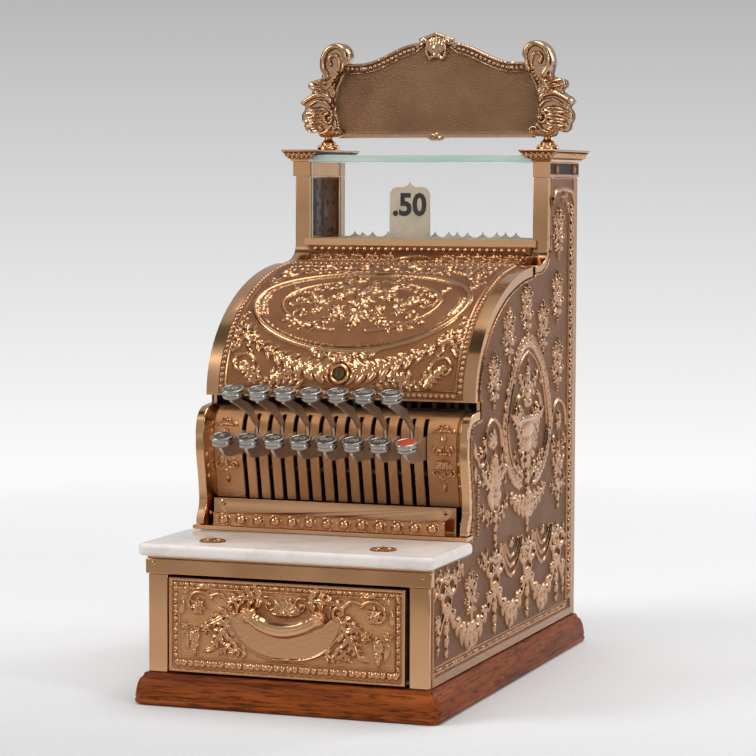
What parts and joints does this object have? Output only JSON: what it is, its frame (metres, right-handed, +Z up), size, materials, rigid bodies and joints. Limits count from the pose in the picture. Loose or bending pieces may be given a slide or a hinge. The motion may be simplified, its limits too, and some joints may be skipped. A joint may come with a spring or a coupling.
{
  "type": "counter cash register",
  "caption": "Small antique counter cash register in cast brass with a wooden plinth, marble shelf, cash drawer, press keys and pop-up price tablets behind glass.",
  "frame": {"origin": "on the table, under the middle of the register", "axes": "+Z up, the drawer, keys and lid face -Y, +X is to the right seen from the front"},
  "size_m": [0.254, 0.427, 0.5412],
  "materials": {
    "polished_brass": "polished",
    "cast_brass": "aged, satin",
    "nickel": "nickel-plated, satin",
    "steel": "plain",
    "mahogany": "varnished",
    "drawer_wood": "oiled",
    "marble": "polished",
    "enamel": "enamelled",
    "glass": "clear"
  },
  "bodies": {
    "cabinet": {"plinth": "mahogany", "side_panel_left": "cast_brass", "side_panel_right": "cast_brass", "rear_cover": "cast_brass", "front_pilaster_left": "polished_brass", "front_pilaster_right": "polished_brass", "front_lintel": "polished_brass", "marble_shelf": "marble", "drawer_rails": "steel", "till_strip": "cast_brass", "key_frame_left": "polished_brass", "key_frame_right": "polished_brass", "keycheck_plate": "cast_brass", "key_shaft": "steel", "window_apron": "cast_brass", "window_post_left": "polished_brass", "window_post_right": "polished_brass", "front_glass": "glass", "rear_glass": "glass", "top_glass": "glass", "cornice_left": "cast_brass", "cornice_right": "cast_brass", "marquee_sign": "cast_brass", "sign_finial_left": "cast_brass", "sign_finial_right": "cast_brass", "tablet_rack": "steel"},
    "drawer": {"drawer_box": "drawer_wood", "drawer_front": "cast_brass"},
    "lid": {"lid": "cast_brass"},
    "lid_lock": {"lid_lock": "polished_brass"},
    "key_01": {"key_01": "nickel"},
    "key_02": {"key_02": "nickel"},
    "key_03": {"key_03": "nickel"},
    "key_04": {"key_04": "nickel"},
    "key_05": {"key_05": "nickel"},
    "key_06": {"key_06": "nickel"},
    "key_07": {"key_07": "nickel"},
    "key_08": {"key_08": "nickel"},
    "key_09": {"key_09": "nickel"},
    "key_10": {"key_10": "nickel"},
    "key_11": {"key_11": "nickel"},
    "key_12": {"key_12": "nickel"},
    "key_13": {"key_13": "nickel"},
    "key_14": {"key_14": "nickel"},
    "key_15": {"key_15": "nickel"},
    "tablet_01": {"tablet_01": "enamel"},
    "tablet_02": {"tablet_02": "enamel"},
    "tablet_03": {"tablet_03": "enamel"},
    "tablet_04": {"tablet_04": "enamel"},
    "tablet_05": {"tablet_05": "enamel"},
    "tablet_06": {"tablet_06": "enamel"},
    "tablet_07": {"tablet_07": "enamel"},
    "tablet_08": {"tablet_08": "enamel"},
    "tablet_09": {"tablet_09": "enamel"},
    "tablet_10": {"tablet_10": "enamel"},
    "tablet_11": {"tablet_11": "enamel"},
    "tablet_12": {"tablet_12": "enamel"},
    "tablet_13": {"tablet_13": "enamel"},
    "tablet_14": {"tablet_14": "enamel"},
    "tablet_15": {"tablet_15": "enamel"}
  },
  "joints": [
    {"name": "drawer_slide", "type": "slide", "parent": "cabinet", "child": "drawer", "axis": [0, -1, 0], "range_m": [0, 0.22]},
    {"name": "lid_hinge", "type": "hinge", "parent": "cabinet", "child": "lid", "pos_m": [0, 0.075, 0.3378], "axis": [1, 0, 0], "range_deg": [-115, 0]},
    {"name": "lock_turn", "type": "hinge", "parent": "lid", "child": "lid_lock", "pos_m": [0, -0.0834, 0.25449], "axis": [0, -0.9522, 0.3056], "range_deg": [0, 90]},
    {"name": "key_01_press", "type": "hinge", "parent": "cabinet", "child": "key_01", "pos_m": [0, -0.0395, 0.172], "axis": [1, 0, 0], "range_deg": [0, 13.1], "stiffness_Nm_per_rad": 1, "springref_deg": -11.46},
    {"name": "tablet_01_lift", "type": "slide", "parent": "cabinet", "child": "tablet_01", "axis": [0, 0, 1], "range_m": [0, 0.044]},
    {"name": "key_02_press", "type": "hinge", "parent": "cabinet", "child": "key_02", "pos_m": [0, -0.0395, 0.172], "axis": [1, 0, 0], "range_deg": [0, 13.1], "stiffness_Nm_per_rad": 1, "springref_deg": -11.46},
    {"name": "tablet_02_lift", "type": "slide", "parent": "cabinet", "child": "tablet_02", "axis": [0, 0, 1], "range_m": [0, 0.044]},
    {"name": "key_03_press", "type": "hinge", "parent": "cabinet", "child": "key_03", "pos_m": [0, -0.0395, 0.172], "axis": [1, 0, 0], "range_deg": [0, 13.1], "stiffness_Nm_per_rad": 1, "springref_deg": -11.46},
    {"name": "tablet_03_lift", "type": "slide", "parent": "cabinet", "child": "tablet_03", "axis": [0, 0, 1], "range_m": [0, 0.044]},
    {"name": "key_04_press", "type": "hinge", "parent": "cabinet", "child": "key_04", "pos_m": [0, -0.0395, 0.172], "axis": [1, 0, 0], "range_deg": [0, 13.1], "stiffness_Nm_per_rad": 1, "springref_deg": -11.46},
    {"name": "tablet_04_lift", "type": "slide", "parent": "cabinet", "child": "tablet_04", "axis": [0, 0, 1], "range_m": [0, 0.044]},
    {"name": "key_05_press", "type": "hinge", "parent": "cabinet", "child": "key_05", "pos_m": [0, -0.0395, 0.172], "axis": [1, 0, 0], "range_deg": [0, 13.1], "stiffness_Nm_per_rad": 1, "springref_deg": -11.46},
    {"name": "tablet_05_lift", "type": "slide", "parent": "cabinet", "child": "tablet_05", "axis": [0, 0, 1], "range_m": [0, 0.044]},
    {"name": "key_06_press", "type": "hinge", "parent": "cabinet", "child": "key_06", "pos_m": [0, -0.0395, 0.172], "axis": [1, 0, 0], "range_deg": [0, 13.1], "stiffness_Nm_per_rad": 1, "springref_deg": -11.46},
    {"name": "tablet_06_lift", "type": "slide", "parent": "cabinet", "child": "tablet_06", "axis": [0, 0, 1], "range_m": [-0.044, 0]},
    {"name": "key_07_press", "type": "hinge", "parent": "cabinet", "child": "key_07", "pos_m": [0, -0.0395, 0.172], "axis": [1, 0, 0], "range_deg": [0, 13.1], "stiffness_Nm_per_rad": 1, "springref_deg": -11.46},
    {"name": "tablet_07_lift", "type": "slide", "parent": "cabinet", "child": "tablet_07", "axis": [0, 0, 1], "range_m": [0, 0.044]},
    {"name": "key_08_press", "type": "hinge", "parent": "cabinet", "child": "key_08", "pos_m": [0, -0.0395, 0.172], "axis": [1, 0, 0], "range_deg": [0, 13.1], "stiffness_Nm_per_rad": 1, "springref_deg": -11.46},
    {"name": "tablet_08_lift", "type": "slide", "parent": "cabinet", "child": "tablet_08", "axis": [0, 0, 1], "range_m": [0, 0.044]},
    {"name": "key_09_press", "type": "hinge", "parent": "cabinet", "child": "key_09", "pos_m": [0, -0.0395, 0.172], "axis": [1, 0, 0], "range_deg": [0, 13.1], "stiffness_Nm_per_rad": 1, "springref_deg": -11.46},
    {"name": "tablet_09_lift", "type": "slide", "parent": "cabinet", "child": "tablet_09", "axis": [0, 0, 1], "range_m": [0, 0.044]},
    {"name": "key_10_press", "type": "hinge", "parent": "cabinet", "child": "key_10", "pos_m": [0, -0.0395, 0.172], "axis": [1, 0, 0], "range_deg": [0, 13.1], "stiffness_Nm_per_rad": 1, "springref_deg": -11.46},
    {"name": "tablet_10_lift", "type": "slide", "parent": "cabinet", "child": "tablet_10", "axis": [0, 0, 1], "range_m": [0, 0.044]},
    {"name": "key_11_press", "type": "hinge", "parent": "cabinet", "child": "key_11", "pos_m": [0, -0.0395, 0.172], "axis": [1, 0, 0], "range_deg": [0, 13.1], "stiffness_Nm_per_rad": 1, "springref_deg": -11.46},
    {"name": "tablet_11_lift", "type": "slide", "parent": "cabinet", "child": "tablet_11", "axis": [0, 0, 1], "range_m": [0, 0.044]},
    {"name": "key_12_press", "type": "hinge", "parent": "cabinet", "child": "key_12", "pos_m": [0, -0.0395, 0.172], "axis": [1, 0, 0], "range_deg": [0, 13.1], "stiffness_Nm_per_rad": 1, "springref_deg": -11.46},
    {"name": "tablet_12_lift", "type": "slide", "parent": "cabinet", "child": "tablet_12", "axis": [0, 0, 1], "range_m": [0, 0.044]},
    {"name": "key_13_press", "type": "hinge", "parent": "cabinet", "child": "key_13", "pos_m": [0, -0.0395, 0.172], "axis": [1, 0, 0], "range_deg": [0, 13.1], "stiffness_Nm_per_rad": 1, "springref_deg": -11.46},
    {"name": "tablet_13_lift", "type": "slide", "parent": "cabinet", "child": "tablet_13", "axis": [0, 0, 1], "range_m": [0, 0.044]},
    {"name": "key_14_press", "type": "hinge", "parent": "cabinet", "child": "key_14", "pos_m": [0, -0.0395, 0.172], "axis": [1, 0, 0], "range_deg": [0, 13.1], "stiffness_Nm_per_rad": 1, "springref_deg": -11.46},
    {"name": "tablet_14_lift", "type": "slide", "parent": "cabinet", "child": "tablet_14", "axis": [0, 0, 1], "range_m": [0, 0.044]},
    {"name": "key_15_press", "type": "hinge", "parent": "cabinet", "child": "key_15", "pos_m": [0, -0.0395, 0.172], "axis": [1, 0, 0], "range_deg": [0, 13.1], "stiffness_Nm_per_rad": 1, "springref_deg": -11.46},
    {"name": "tablet_15_lift", "type": "slide", "parent": "cabinet", "child": "tablet_15", "axis": [0, 0, 1], "range_m": [0, 0.044]}
  ],
  "couplings": [
    {"joint": "tablet_01_lift", "follows": "key_01_press", "m_per_rad": 0.1924},
    {"joint": "tablet_02_lift", "follows": "key_02_press", "m_per_rad": 0.1924},
    {"joint": "tablet_03_lift", "follows": "key_03_press", "m_per_rad": 0.1924},
    {"joint": "tablet_04_lift", "follows": "key_04_press", "m_per_rad": 0.1924},
    {"joint": "tablet_05_lift", "follows": "key_05_press", "m_per_rad": 0.1924},
    {"joint": "tablet_07_lift", "follows": "key_07_press", "m_per_rad": 0.1924},
    {"joint": "tablet_08_lift", "follows": "key_08_press", "m_per_rad": 0.1924},
    {"joint": "tablet_09_lift", "follows": "key_09_press", "m_per_rad": 0.1924},
    {"joint": "tablet_10_lift", "follows": "key_10_press", "m_per_rad": 0.1924},
    {"joint": "tablet_11_lift", "follows": "key_11_press", "m_per_rad": 0.1924},
    {"joint": "tablet_12_lift", "follows": "key_12_press", "m_per_rad": 0.1924},
    {"joint": "tablet_13_lift", "follows": "key_13_press", "m_per_rad": 0.1924},
    {"joint": "tablet_14_lift", "follows": "key_14_press", "m_per_rad": 0.1924},
    {"joint": "tablet_15_lift", "follows": "key_15_press", "m_per_rad": 0.1924}
  ]
}
